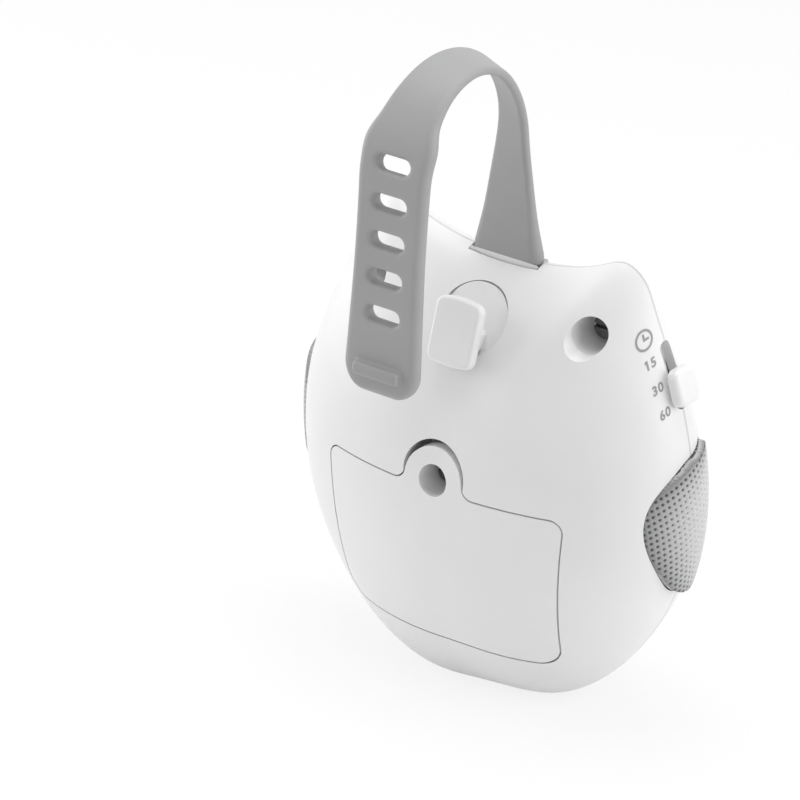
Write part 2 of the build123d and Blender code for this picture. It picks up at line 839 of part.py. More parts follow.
# Anchor that holds the strap's root from inside the saddle
with BuildPart() as strap_anchor:
    with BuildSketch(Plane.XY.offset(root_height - anchor_drop - anchor_height)):
        Rectangle(anchor_width, anchor_thickness)
    extrude(amount=anchor_drop + anchor_height)
    add(whole_pillow(wall), mode=Mode.INTERSECT)
    with BuildSketch(Plane.XY.offset(root_height - anchor_drop)):
        Rectangle(root_width, root_thickness)
    extrude(amount=anchor_drop)
    with BuildSketch(Plane.YZ.offset(-root_width)):
        with Locations((0, root_height)):
            Circle(root_thickness / 2 + hinge_clearance)
    extrude(amount=2 * root_width, mode=Mode.SUBTRACT)
strap_anchor.part.label = "strap_anchor"
export_step(strap_anchor.part, "parts/strap_anchor.step")

# Stud: sunk disc, stem and flat head
with BuildPart() as strap_stud:
    with BuildSketch(head_plane) as head_outline:
        with BuildLine():
            ThreePointArc(head_corners[0], (0, head_length / 2 + head_bow), head_corners[1])
            Line(head_corners[1], head_corners[2])
            ThreePointArc(head_corners[2], (0, -head_length / 2 - head_bow), head_corners[3])
            Line(head_corners[3], head_corners[0])
        make_face()
        fillet(head_outline.vertices(), radius=head_corner)
    extrude(amount=-head_thickness)
    fillet(strap_stud.edges().group_by(Axis(head_plane.origin, head_plane.z_dir))[-1], radius=head_edge)
    with BuildSketch(head_plane.offset(-head_thickness / 2)):
        with Locations((0, -stem_drop)):
            RectangleRounded(stem_width, stem_height, stem_corner)
    extrude(amount=-stem_length)
    with BuildSketch(stud_plane):
        Circle(stud_disc_radius)
    extrude(amount=-stud_disc_thickness)
    with BuildSketch(stud_screw_plane):
        with Locations((0, -stud_screw_drop)):
            Circle(board_screw_radius + thread_clearance)
    extrude(amount=stud_screw_length, mode=Mode.SUBTRACT)
strap_stud.part.label = "strap_stud"
export_step(strap_stud.part, "parts/strap_stud.step")

# Wing cloth over a hard grille, which also carries the speaker; right side first, then mirrored
with BuildPart() as wing_mesh_right:
    add(wing_pillow(0).intersect(wing_prism(0)))
    add(wing_pillow(mesh_thickness).intersect(wing_window), mode=Mode.SUBTRACT)
wing_mesh_right.part.label = "wing_mesh_right"
export_step(wing_mesh_right.part, "parts/wing_mesh_right.step")

with BuildPart() as wing_mesh_left:
    add(wing_mesh_right.part.mirror(Plane.YZ))
wing_mesh_left.part.label = "wing_mesh_left"
export_step(wing_mesh_left.part, "parts/wing_mesh_left.step")

# Tube in the grille with a step that the speaker's edge seats on
with BuildPart() as speaker_tube:
    with BuildSketch(Plane.YZ.offset(speaker_back)):
        with Locations((wing_y, wing_height)):
            Circle(speaker_radius + speaker_clearance + speaker_tube_wall)
    extrude(amount=overrun)
    with BuildSketch(Plane.YZ.offset(speaker_back)):
        with Locations((wing_y, wing_height)):
            Circle(speaker_radius + speaker_clearance)
    extrude(amount=speaker_depth + cone_thickness, mode=Mode.SUBTRACT)
    with BuildSketch(Plane.YZ.offset(speaker_back)):
        with Locations((wing_y, wing_height)):
            Circle(cone_edge_radius)
    extrude(amount=overrun, mode=Mode.SUBTRACT)

# Hollow behind the grille's plate and flange, left standing round the speaker tube
grille_top = mesh_thickness + grille_clearance
flange_top = wall + grille_clearance
with BuildPart() as grille_hollow:
    add(wing_pillow(grille_top + grille_thickness).intersect(wing_prism(-grille_clearance - grille_skirt)))
    add(whole_pillow(flange_top + grille_thickness).intersect(wing_prism(grille_flange + wing_gap)))
    add(speaker_tube.part, mode=Mode.SUBTRACT)

with BuildPart() as wing_grille_right:
    add(wing_pillow(grille_top).intersect(wing_prism(-grille_clearance)))
    add(whole_pillow(flange_top).intersect(wing_prism(grille_flange)))
    add(grille_hollow.part, mode=Mode.SUBTRACT)
    with BuildSketch(Plane.YZ.offset(speaker_face + cone_thickness)):
        with Locations((wing_y, wing_height)):
            with HexLocations(grille_hole_pitch, grille_hole_count, grille_hole_count):
                Circle(grille_hole_radius)
    extrude(amount=overrun, mode=Mode.SUBTRACT)
wing_grille_right.part.label = "wing_grille_right"
export_step(wing_grille_right.part, "parts/wing_grille_right.step")

with BuildPart() as wing_grille_left:
    add(wing_grille_right.part.mirror(Plane.YZ))
wing_grille_left.part.label = "wing_grille_left"
export_step(wing_grille_left.part, "parts/wing_grille_left.step")

# Speakers
with BuildPart() as speaker_basket_right:
    with BuildSketch(speaker_plane):
        with BuildLine():
            Polyline(
                (speaker_back, 0),
                (speaker_back, speaker_cup_radius),
                (speaker_face - speaker_rim, speaker_radius),
                (speaker_face, speaker_radius),
                (speaker_face, speaker_rim_inner_radius),
                (speaker_back + basket_wall, speaker_cup_radius - basket_wall),
                (speaker_back + basket_wall, 0),
                close=True,
            )
        make_face()
    revolve(axis=speaker_axis)
speaker_basket_right.part.label = "speaker_basket_right"
export_step(speaker_basket_right.part, "parts/speaker_basket_right.step")

with BuildPart() as speaker_basket_left:
    add(speaker_basket_right.part.mirror(Plane.YZ))
speaker_basket_left.part.label = "speaker_basket_left"
export_step(speaker_basket_left.part, "parts/speaker_basket_left.step")

with BuildPart() as speaker_magnet_right:
    with BuildSketch(Plane.YZ.offset(speaker_back - magnet_depth)):
        with Locations((wing_y, wing_height)):
            Circle(magnet_radius)
    extrude(amount=magnet_depth)
speaker_magnet_right.part.label = "speaker_magnet_right"
export_step(speaker_magnet_right.part, "parts/speaker_magnet_right.step")

with BuildPart() as speaker_magnet_left:
    add(speaker_magnet_right.part.mirror(Plane.YZ))
speaker_magnet_left.part.label = "speaker_magnet_left"
export_step(speaker_magnet_left.part, "parts/speaker_magnet_left.step")

with BuildPart() as speaker_cone_right:
    with BuildSketch(speaker_plane):
        with BuildLine():
            Polyline(
                (speaker_face, cone_outer_radius),
                (speaker_face + cone_thickness, cone_outer_radius),
                (speaker_face + cone_thickness, cone_edge_radius),
                (speaker_face + cone_thickness - cone_depth, dust_cap_radius),
                (speaker_face + cone_thickness - cone_depth + dust_cap_rise, 0),
                (speaker_face - cone_depth + dust_cap_rise, 0),
                (speaker_face - cone_depth, dust_cap_radius),
                (speaker_face, cone_edge_radius),
                close=True,
            )
        make_face()
    revolve(axis=speaker_axis)
speaker_cone_right.part.label = "speaker_cone_right"
export_step(speaker_cone_right.part, "parts/speaker_cone_right.step")

with BuildPart() as speaker_cone_left:
    add(speaker_cone_right.part.mirror(Plane.YZ))
speaker_cone_left.part.label = "speaker_cone_left"
export_step(speaker_cone_left.part, "parts/speaker_cone_left.step")

# Circuit board with its press switches
with BuildPart() as circuit_board:
    with BuildSketch(rear_plane(board_y)):
        with Locations((0, (board_top + board_bottom) / 2)):
            RectangleRounded(2 * board_half_width, board_top - board_bottom, board_corner)
        with Locations(*board_screw_places):
            Circle(board_screw_radius + thread_clearance, mode=Mode.SUBTRACT)
    extrude(amount=board_thickness)
circuit_board.part.label = "circuit_board"
export_step(circuit_board.part, "parts/circuit_board.step")

with BuildPart() as button_switches:
    with BuildSketch(front_plane(board_y)):
        with Locations(play_place, *small_places):
            Rectangle(switch_size, switch_size)
    extrude(amount=switch_body_height)
    with BuildSketch(front_plane(switch_front)):
        with Locations(play_place, *small_places):
            Circle(switch_plunger_radius)
    extrude(amount=plunger_height)
button_switches.part.label = "button_switches"
export_step(button_switches.part, "parts/button_switches.step")

# Push buttons
with BuildPart() as play_button:
    add(button(play_place, play_radius))
play_button.part.label = "play_button"
export_step(play_button.part, "parts/play_button.step")

with BuildPart() as sound_button:
    add(button(sound_place, small_radius))
sound_button.part.label = "sound_button"
export_step(sound_button.part, "parts/sound_button.step")

with BuildPart() as volume_up_button:
    add(button(volume_up_place, small_radius))
volume_up_button.part.label = "volume_up_button"
export_step(volume_up_button.part, "parts/volume_up_button.step")

with BuildPart() as volume_down_button:
    add(button(volume_down_place, small_radius))
volume_down_button.part.label = "volume_down_button"
export_step(volume_down_button.part, "parts/volume_down_button.step")

# Timer: bezel plate inside the wall, slide switch under it, slider with a domed knob
with BuildPart() as timer_bezel:
    with BuildSketch(timer_plane.offset(-bezel_depth)):
        with Locations((timer_slot_rise, 0)):
            RectangleRounded(bezel_length, bezel_width, bezel_corner)
            Rectangle(pin_slot_length, pin_slot_width, mode=Mode.SUBTRACT)
    extrude(amount=-bezel_thickness)
timer_bezel.part.label = "timer_bezel"
export_step(timer_bezel.part, "parts/timer_bezel.step")

with BuildPart() as timer_switch:
    with BuildSketch(timer_plane.offset(-bezel_depth - bezel_thickness)):
        with Locations((timer_slot_rise, 0)):
            Rectangle(timer_switch_length, timer_switch_width)
    extrude(amount=-timer_switch_height)
    with BuildSketch(timer_plane.offset(-bezel_depth - bezel_thickness)):
        with Locations((timer_slot_rise, 0)):
            Rectangle(pin_slot_length, pin_slot_width)
    extrude(amount=-pin_length - timer_clearance, mode=Mode.SUBTRACT)
timer_switch.part.label = "timer_switch"
export_step(timer_switch.part, "parts/timer_switch.step")

with BuildPart() as timer_slider:
    with BuildSketch(timer_plane.offset(knob_lift)):
        RectangleRounded(knob_length, knob_width, knob_corner)
    extrude(amount=knob_rise)
    fillet(timer_slider.edges().group_by(Axis(timer_plane.origin, timer_plane.z_dir))[-1], radius=knob_edge)
    with BuildSketch(timer_plane.offset(timer_clearance - bezel_depth)):
        SlotOverall(timer_stem_length, timer_slot_width - 2 * timer_clearance)
    extrude(amount=bezel_depth - timer_clearance + knob_lift)
    with BuildSketch(timer_plane.offset(-bezel_depth - bezel_thickness - pin_length)):
        Rectangle(pin_width, pin_width)
    extrude(amount=bezel_depth + bezel_thickness + pin_length)
timer_slider.part.label = "timer_slider"
export_step(timer_slider.part, "parts/timer_slider.step")
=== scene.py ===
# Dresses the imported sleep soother: camera and light, materials for every CAD node, the soft strap,
# the knitted wing cloths and the printed marks beside the timer slider. Metres, in the CAD frame.
import json
import math

import bmesh
import bpy
import numpy as np
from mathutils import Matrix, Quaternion, Vector
from mathutils.bvhtree import BVHTree
from mathutils.kdtree import KDTree


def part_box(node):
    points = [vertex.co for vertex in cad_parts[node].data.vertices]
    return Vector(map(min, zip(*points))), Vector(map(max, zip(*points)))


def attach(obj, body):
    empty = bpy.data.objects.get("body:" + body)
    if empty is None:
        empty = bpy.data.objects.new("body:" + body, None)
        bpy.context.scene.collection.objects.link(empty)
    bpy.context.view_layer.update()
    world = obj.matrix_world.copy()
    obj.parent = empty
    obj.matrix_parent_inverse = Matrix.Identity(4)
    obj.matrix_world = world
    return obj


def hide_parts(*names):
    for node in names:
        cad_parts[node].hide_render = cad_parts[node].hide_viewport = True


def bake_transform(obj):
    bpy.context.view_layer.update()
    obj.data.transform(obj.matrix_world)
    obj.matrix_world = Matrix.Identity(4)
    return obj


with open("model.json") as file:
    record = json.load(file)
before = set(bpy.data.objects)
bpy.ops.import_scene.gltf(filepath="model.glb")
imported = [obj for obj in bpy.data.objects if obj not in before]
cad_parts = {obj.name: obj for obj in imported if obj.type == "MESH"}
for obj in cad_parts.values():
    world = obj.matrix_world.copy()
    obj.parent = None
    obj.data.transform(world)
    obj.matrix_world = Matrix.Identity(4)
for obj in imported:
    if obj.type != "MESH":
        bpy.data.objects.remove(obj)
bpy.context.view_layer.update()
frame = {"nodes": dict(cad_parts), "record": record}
nodes = frame["nodes"]
MM = 0.001
WHITE = (1, 1, 1, 1)
# Rays that look for a CAD surface start this far from the middle of the object
RAY_REACH = 80 * MM

# Camera, found by fitting the housing's outline in the photograph
TARGET = Vector((0, 0.00133, 0.053))
CAMERA_AZIMUTH = math.radians(214.67)
CAMERA_ELEVATION = math.radians(26.14)
CAMERA_DISTANCE = 0.8518
CAMERA_ROLL = math.radians(1.31)
CAMERA_LENS = 185.8
SENSOR_WIDTH = 36
CLIP_END = 20
AIM_SIDE = -0.0207
AIM_UP = 0.0062

# Strap, on the line of the CAD strap
ROOT_HEIGHT = 94.503 * MM
ROOT_SINK = 1.6 * MM
LEG_LENGTH = 25.4 * MM
ARCH_RADIUS = 19.8 * MM
TAIL_LENGTH = 44 * MM
TAIL_TILT = math.radians(3.8)
TAIL_THICKNESS = 3.3 * MM
TAIL_WIDTH = 17.2 * MM
TAIL_CORNER = 6 * MM
END_THIN_SHARE = 0.15
# Each row: share of the strap's length, width share, thickness share and twist in degrees
STRAP_SHARES = (
    (0, 0.95, 1.2, 0),
    (0.055, 0.79, 0.79, 4),
    (0.117, 0.663, 0.62, 9),
    (0.21, 0.512, 0.6, 18),
    (0.296, 0.5, 0.58, 21),
    (0.374, 0.564, 0.58, 14),
    (0.452, 0.64, 0.62, 6),
    (0.53, 0.73, 0.72, 1),
    (0.565, 0.8, 0.86, 0),
    (0.6, 0.955, 1.06, 0),
    (0.64, 0.955, 1.03, 0),
    (0.7, 0.942, 1, 0),
    (0.78, 0.945, 1, 0),
    (0.9, 1, 1, 0),
    (1, 1.06, 1, 0),
)
SLOT_LENGTH = 8 * MM
SLOT_HEIGHT = 3.2 * MM
SLOT_ROUND = 0.8 * MM
SLOT_PITCH = 7.7 * MM
SLOT_COUNT = 5
SLOT_FROM_END = 16.9 * MM
GRIP_LENGTH = 11 * MM
GRIP_HEIGHT = 2.8 * MM
GRIP_RISE = 1.6 * MM
GRIP_EDGE = 0.7 * MM
GRIP_FROM_END = 5.2 * MM
STRAP_RINGS = 150
HALF_ROUND_STEPS = 12
TAIL_END_STEPS = 14
FLARE_STEPS = 6
BEVEL_STEPS = 4
ROUND_PROFILE = 0.5
STRAP_VOXEL = 0.25 * MM
SOFTEN_SHARE = 0.5
SOFTEN_ROUNDS = 3

# Knitted wing cloth
WINGS = ((1, "right"), (-1, "left"))
KNIT_STEP = 0.12 * MM
KNIT_COLUMN = 1.24 * MM
KNIT_ROW = 1.33 * MM
KNIT_LEAN = 0.2
# Painted shade: the holes are painted darker towards the wing's rear edge over KNIT_FADE, and the yarn
# over SHADE_REACH
KNIT_FADE = 18 * MM
FADE_LOW_SHARE = 0.5
SHADE_REACH = 5 * MM
KNIT_DEPTH = 0.25 * MM
HOLE_WIDTH = 0.9 * MM
HOLE_HEIGHT = 0.9 * MM
HOLE_SLANT = 0.35
HOLE_SHARPNESS = 4
HOLE_FADE = 0.04 * MM
EDGE_ROUND = 0.3 * MM
EDGE_MARGIN = 0.05 * MM
EDGE_PROBES = 80
EDGE_HALVINGS = 12
END_CROWDING = 0.9
CLOTH_SINK = 1.2 * MM
YARN_DARK = (0.54, 0.54, 0.545)
YARN_LIGHT = (0.72, 0.72, 0.725)
# Yarn colour of the painted shade along the wing's rear edge
YARN_SHADOW = (0.28, 0.28, 0.283)
HOLE_COLOUR = (0.06, 0.06, 0.062)
HOLE_RANGE = (0.3, 0.75)
FIBRE_SCALE = 2600
FIBRE_DETAIL = 3
FIBRE_STRENGTH = 0.5
FIBRE_DEPTH = 0.08 * MM
KNIT_ROUGHNESS = 0.85
KNIT_SHEEN = 0.25

# Marks beside the timer: text and place in X and Z in mm, then the shape of the figures and the clock
MARKS = (("15", -38.0, 81.25), ("30", -40.17, 76.5), ("60", -42.15, 71.7))
MARK_SIZE = 2.6 * MM
MARK_WEIGHT = 0.07 * MM
MARK_TURN = math.radians(16)
MARK_LEAN = math.radians(-2)
MARK_SPACING = 1.15
MARK_LIFT = 0.05 * MM
FLAG_DROP = 0.6 * MM
FLAG_REACH = 0.32 * MM
FLAG_WEIGHT = 0.4 * MM
TIMER_TILT = math.radians(18)
CLOCK_PLACE = (-35.92, 85.7)
CLOCK_RADIUS = 2.1 * MM
CLOCK_LINE = 0.45 * MM
CLOCK_HAND = 1.15 * MM
CLOCK_STEPS = 48

# Floor, world and lamps; a lamp has a place sideways, towards the camera and up from the target,
# then its size and power
FLOOR_HALF = 3
FLOOR_DROP = 0.0001
FLOOR_COLOUR = (0.9, 0.9, 0.9, 1)
FLOOR_ROUGHNESS = 0.9
FLOOR_GLOW_SHARE = 0.8
WORLD_LEVEL = 0.565
LAMPS = (
    ("lamp_right", (0.6, 0.25, 0.15), 0.6, 1.9),
    ("lamp_left", (-0.6, -0.25, 0.2), 0.6, 2.1),
    ("lamp_top", (0, -0.1, 0.7), 0.5, 2.2),
)

# Noise in the materials, and the band of its values that is spread out
NOISE_RANGE = (0.3, 0.7)
DRIFT_SCALE = 45
DRIFT_DETAIL = 3
GRAIN_DETAIL = 2
GRAIN_STRENGTH = 0.35
PLASTIC_GLOSS_SPREAD = 0.05
METAL_SCALE = 900
METAL_DETAIL = 4
METAL_GLOSS_SPREAD = 0.08
# Painted light: the timer bezel glows weakly though it is no lamp, to lift the shade in the slider's
# recess
BEZEL_GLOW = 0.18
SEAM_HALF = 0.3 * MM
SEAM_COLOUR = (0.62, 0.62, 0.62)

# Moulded looks: name, darker and lighter colour, roughness, grain scale and grain depth
MOULDED = {
    "shell": ("shell_plastic", (0.79, 0.79, 0.79), (0.82, 0.82, 0.82), 0.4, 2600, 0.02 * MM),
    "stud": ("stud_plastic", (0.8, 0.8, 0.8), (0.83, 0.83, 0.83), 0.36, 2600, 0.02 * MM),
    "slider": ("slider_plastic", (0.8, 0.8, 0.8), (0.83, 0.83, 0.83), 0.3, 2600, 0.01 * MM),
    # The bezel is painted paler than the shell to lift the shade in its recess
    "bezel": ("bezel_plastic", (0.93, 0.93, 0.93), (0.96, 0.96, 0.96), 0.45, 2600, 0.02 * MM),
    "buttons": ("button_plastic", (0.6, 0.6, 0.61), (0.64, 0.64, 0.65), 0.42, 2600, 0.02 * MM),
    "strap": ("silicone", (0.33, 0.33, 0.335), (0.365, 0.365, 0.37), 0.55, 3200, 0.03 * MM),
    "knit": ("wing_backing", (0.3, 0.3, 0.3), (0.36, 0.36, 0.36), 0.8, 2000, 0.05 * MM),
    "grille": ("grille_plastic", (0.1, 0.1, 0.1), (0.13, 0.13, 0.13), 0.5, 2600, 0.02 * MM),
    "ink": ("mark_ink", (0.29, 0.29, 0.295), (0.33, 0.33, 0.335), 0.5, 2600, 0.01 * MM),
    "cell_jacket": ("cell_jacket", (0.05, 0.1, 0.07), (0.07, 0.13, 0.09), 0.35, 1800, 0.01 * MM),
    "cone": ("speaker_cone", (0.03, 0.03, 0.03), (0.05, 0.05, 0.05), 0.75, 1500, 0.05 * MM),
    "board": ("circuit_board", (0.02, 0.11, 0.05), (0.03, 0.15, 0.07), 0.45, 1600, 0.02 * MM),
    "switch_body": ("switch_body", (0.03, 0.03, 0.032), (0.05, 0.05, 0.052), 0.45, 2600, 0.02 * MM),
}
# Metal looks: name, darker and lighter colour, roughness
PLATED = {
    "screw_steel": ("screw_steel", (0.1, 0.1, 0.105), (0.16, 0.16, 0.165), 0.4),
    "contact_metal": ("contact_metal", (0.58, 0.56, 0.52), (0.7, 0.68, 0.64), 0.28),
    "speaker_frame": ("speaker_frame", (0.2, 0.2, 0.2), (0.3, 0.3, 0.3), 0.5),
    "magnet": ("magnet", (0.4, 0.4, 0.41), (0.5, 0.5, 0.51), 0.38),
}

strap_length = LEG_LENGTH + ARCH_RADIUS * (math.pi - TAIL_TILT) + TAIL_LENGTH


def new_object(name, data):
    """Object for a mesh, curve, lamp or camera, linked to the scene."""
    obj = bpy.data.objects.new(name, data)
    bpy.context.scene.collection.objects.link(obj)
    return obj


def mesh_from(name, points, faces):
    """Mesh with smooth shading from points and faces."""
    mesh = bpy.data.meshes.new(name)
    mesh.from_pydata([tuple(point) for point in points], [], [tuple(face) for face in faces])
    smooth_shading(mesh)
    mesh.update()
    return mesh


def smooth_shading(mesh):
    """Shades all faces of a mesh smoothly."""
    mesh.polygons.foreach_set("use_smooth", [True] * len(mesh.polygons))


def bake(obj):
    """Applies an object's modifiers to its mesh."""
    graph = bpy.context.evaluated_depsgraph_get()
    mesh = bpy.data.meshes.new_from_object(obj.evaluated_get(graph))
    obj.modifiers.clear()
    obj.data = mesh


def face_outward(obj):
    """Turns all faces of a mesh outward."""
    made = bmesh.new()
    made.from_mesh(obj.data)
    bmesh.ops.recalc_face_normals(made, faces=made.faces[:])
    made.to_mesh(obj.data)
    made.free()


def material(name):
    """New node material with its node tree, its shader and a node for the object's coordinates."""
    made = bpy.data.materials.new(name)
    made.use_nodes = True
    tree = made.node_tree
    shader = tree.nodes["Principled BSDF"]
    place = tree.nodes.new("ShaderNodeTexCoord")
    return made, tree, shader, place


def noise(tree, place, scale, detail):
    """Noise value over the object's own coordinates."""
    texture = tree.nodes.new("ShaderNodeTexNoise")
    texture.inputs["Scale"].default_value = scale
    texture.inputs["Detail"].default_value = detail
    tree.links.new(place.outputs["Object"], texture.inputs["Vector"])
    return texture.outputs["Fac"]


def spread(tree, source, low, high, band=NOISE_RANGE):
    """Maps a value within a band to the range from low to high."""
    mapped = tree.nodes.new("ShaderNodeMapRange")
    mapped.inputs["From Min"].default_value = band[0]
    mapped.inputs["From Max"].default_value = band[1]
    mapped.inputs["To Min"].default_value = low
    mapped.inputs["To Max"].default_value = high
    tree.links.new(source, mapped.inputs["Value"])
    return mapped.outputs["Result"]


def tint(tree, source, dark, light):
    """Mixes two colours by a noise value."""
    ramp = tree.nodes.new("ShaderNodeValToRGB")
    for element, position, colour in zip(ramp.color_ramp.elements, NOISE_RANGE, (dark, light)):
        element.position = position
        element.color = (*colour, 1)
    tree.links.new(source, ramp.inputs["Fac"])
    return ramp.outputs["Color"]


def blended(tree, factor, colour, other):
    """Mixes a fixed colour into a colour by a factor."""
    mix = tree.nodes.new("ShaderNodeMix")
    mix.data_type = "RGBA"
    tree.links.new(factor, mix.inputs["Factor"])
    tree.links.new(colour, mix.inputs["A"])
    mix.inputs["B"].default_value = (*other, 1)
    return mix.outputs["Result"]


def drifting(tree, shader, drift, dark, light, roughness, gloss_spread):
    """Lets a shader's colour and roughness drift with one noise value."""
    tree.links.new(tint(tree, drift, dark, light), shader.inputs["Base Color"])
    rough = spread(tree, drift, roughness - gloss_spread, roughness + gloss_spread)
    tree.links.new(rough, shader.inputs["Roughness"])


def bumped(tree, shader, height, strength, distance):
    """Gives a shader a fine relief from a height value."""
    bump = tree.nodes.new("ShaderNodeBump")
    bump.inputs["Strength"].default_value = strength
    bump.inputs["Distance"].default_value = distance
    tree.links.new(height, bump.inputs["Height"])
    tree.links.new(bump.outputs["Normal"], shader.inputs["Normal"])


def moulded(name, dark, light, roughness, grain, grain_depth):
    """Moulded plastic or rubber: slow colour drift, uneven gloss and a fine surface grain."""
    made, tree, shader, place = material(name)
    drift = noise(tree, place, DRIFT_SCALE, DRIFT_DETAIL)
    drifting(tree, shader, drift, dark, light, roughness, PLASTIC_GLOSS_SPREAD)
    bumped(tree, shader, noise(tree, place, grain, GRAIN_DETAIL), GRAIN_STRENGTH, grain_depth)
    return made


def plated(name, dark, light, roughness):
    """Plated or turned metal with fine uneven gloss."""
    made, tree, shader, place = material(name)
    drift = noise(tree, place, METAL_SCALE, METAL_DETAIL)
    drifting(tree, shader, drift, dark, light, roughness, METAL_GLOSS_SPREAD)
    shader.inputs["Metallic"].default_value = 1
    return made


def knitted(name):
    """Knit cloth: pale yarn with dark holes, fine fibre and a soft sheen, with painted shade towards
    the rear edge.
    """
    made, tree, shader, place = material(name)
    # The attribute holds in red the hole depth, painted deeper towards the rear edge, and in green the
    # painted shade along the rear edge
    holes = tree.nodes.new("ShaderNodeVertexColor")
    holes.layer_name = "holes"
    fibre = noise(tree, place, FIBRE_SCALE, FIBRE_DETAIL)
    parts = tree.nodes.new("ShaderNodeSeparateColor")
    tree.links.new(holes.outputs["Color"], parts.inputs["Color"])
    depth = spread(tree, parts.outputs["Red"], 0, 1, HOLE_RANGE)
    colour = tint(tree, fibre, YARN_DARK, YARN_LIGHT)
    # Painted shade: the yarn darkens towards the wing's rear edge
    colour = blended(tree, parts.outputs["Green"], colour, YARN_SHADOW)
    colour = blended(tree, depth, colour, HOLE_COLOUR)
    tree.links.new(colour, shader.inputs["Base Color"])
    bumped(tree, shader, fibre, FIBRE_STRENGTH, FIBRE_DEPTH)
    shader.inputs["Roughness"].default_value = KNIT_ROUGHNESS
    shader.inputs["Sheen Weight"].default_value = KNIT_SHEEN
    return made


def seamed(made):
    """Draws the fine line where the two shells meet, on the plane where Y is zero."""
    tree = made.node_tree
    shader = tree.nodes["Principled BSDF"]
    colour = shader.inputs["Base Color"].links[0].from_socket
    place = tree.nodes.new("ShaderNodeTexCoord")
    axes = tree.nodes.new("ShaderNodeSeparateXYZ")
    tree.links.new(place.outputs["Object"], axes.inputs["Vector"])
    near = tree.nodes.new("ShaderNodeMath")
    near.operation = "COMPARE"
    near.inputs[1].default_value = 0
    near.inputs[2].default_value = SEAM_HALF
    tree.links.new(axes.outputs["Y"], near.inputs[0])
    line = blended(tree, near.outputs["Value"], colour, SEAM_COLOUR)
    tree.links.new(line, shader.inputs["Base Color"])


def glowing(made, strength):
    """Adds a weak white glow to a material."""
    shader = made.node_tree.nodes["Principled BSDF"]
    shader.inputs["Emission Color"].default_value = WHITE
    shader.inputs["Emission Strength"].default_value = strength


def shade(node, made):
    """Gives a CAD node one material on all its faces."""
    obj = nodes[node]
    if not obj.material_slots:
        obj.data.materials.append(made)
    for slot in obj.material_slots:
        slot.material = made


def strap_place(length):
    """Y and Z on the strap's middle line and the arch angle there, at a length from the root."""
    if length < LEG_LENGTH:
        return 0, ROOT_HEIGHT + length, 0
    angle = min((length - LEG_LENGTH) / ARCH_RADIUS, math.pi - TAIL_TILT)
    past = max(length - LEG_LENGTH - ARCH_RADIUS * (math.pi - TAIL_TILT), 0)
    y = ARCH_RADIUS * (1 - math.cos(angle)) + past * math.sin(angle)
    z = ROOT_HEIGHT + LEG_LENGTH + ARCH_RADIUS * math.sin(angle) + past * math.cos(angle)
    return y, z, angle


def strap_frame(length, turn):
    """Middle point, width direction and outward direction of the strap at a length from the root."""
    y, z, angle = strap_place(length)
    across = Vector((1, 0, 0))
    outward = Vector((0, -math.cos(angle), math.sin(angle)))
    wide = across * math.cos(turn) + outward * math.sin(turn)
    proud = outward * math.cos(turn) - across * math.sin(turn)
    return Vector((0, y, z)), wide, proud


def smooth_table(share):
    """Width share, thickness share and twist at a share of the strap's length, smoothly in between."""
    table = np.array(STRAP_SHARES, float)
    slopes = np.gradient(table[:, 1:], table[:, 0], axis=0)
    index = int(np.clip(np.searchsorted(table[:, 0], share) - 1, 0, len(table) - 2))
    step = table[index + 1, 0] - table[index, 0]
    t = (share - table[index, 0]) / step
    start = table[index, 1:] * (1 + 2 * t) * (1 - t) ** 2 + slopes[index] * step * t * (1 - t) ** 2
    end = table[index + 1, 1:] * t**2 * (3 - 2 * t) + slopes[index + 1] * step * t**2 * (t - 1)
    return start + end


def stadium(middle, wide, third, radius, flat):
    """Ring of points: two half rounds, each set off by the flat to its own side of the middle."""
    points = []
    for side, start in ((1, 0), (-1, math.pi)):
        for step in range(HALF_ROUND_STEPS + 1):
            turn = math.pi * (step / HALF_ROUND_STEPS - 0.5) + start
            out = wide * (radius * math.cos(turn) + side * flat)
            points.append(middle + out + third * (radius * math.sin(turn)))
    return points


def tube(name, rings):
    """Closed object whose skin joins rings of points in turn, with both ends filled."""
    count = len(rings[0])
    points = [point for ring in rings for point in ring]
    faces = []
    for row in range(len(rings) - 1):
        for i in range(count):
            a = row * count + i
            b = row * count + (i + 1) % count
            faces.append((a, b, b + count, a + count))
    faces.append(tuple(range(count))[::-1])
    faces.append(tuple(range(len(points) - count, len(points))))
    made = new_object(name, mesh_from(name, points, faces))
    face_outward(made)
    return made


def strap_ring(length):
    """Ring of points round the strap at a length from the root, drawn in at the rounded free end."""
    width_share, thickness_share, twist = smooth_table(min(max(length / strap_length, 0), 1))
    from_end = strap_length - length
    radius = thickness_share * TAIL_THICKNESS / 2
    half = width_share * TAIL_WIDTH / 2
    if from_end < TAIL_CORNER:
        half -= TAIL_CORNER - math.sqrt(TAIL_CORNER**2 - (TAIL_CORNER - from_end) ** 2)
    if from_end < radius:
        radius = max(math.sqrt(radius**2 - (radius - from_end) ** 2), END_THIN_SHARE * radius)
    middle, wide, proud = strap_frame(length, math.radians(twist))
    return stadium(middle, wide, proud, radius, max(half - radius, 0))


def slot_cutter(name, from_end):
    """Prism with round ends that cuts one slot through the strap, flared to round the slot's rims."""
    middle, wide, proud = strap_frame(strap_length - from_end, 0)
    third = proud.cross(wide)
    face = TAIL_THICKNESS / 2
    flare = [(-TAIL_THICKNESS, SLOT_ROUND)]
    for step in range(FLARE_STEPS + 1):
        turn = math.pi / 2 * step / FLARE_STEPS
        flare.append((SLOT_ROUND * (1 - math.cos(turn)) - face, SLOT_ROUND * (1 - math.sin(turn))))
    flare += [(-rise, wider) for rise, wider in reversed(flare)]
    flat = (SLOT_LENGTH - SLOT_HEIGHT) / 2
    rings = []
    for rise, wider in flare:
        rings.append(stadium(middle + proud * rise, wide, third, SLOT_HEIGHT / 2 + wider, flat))
    return tube(name, rings)


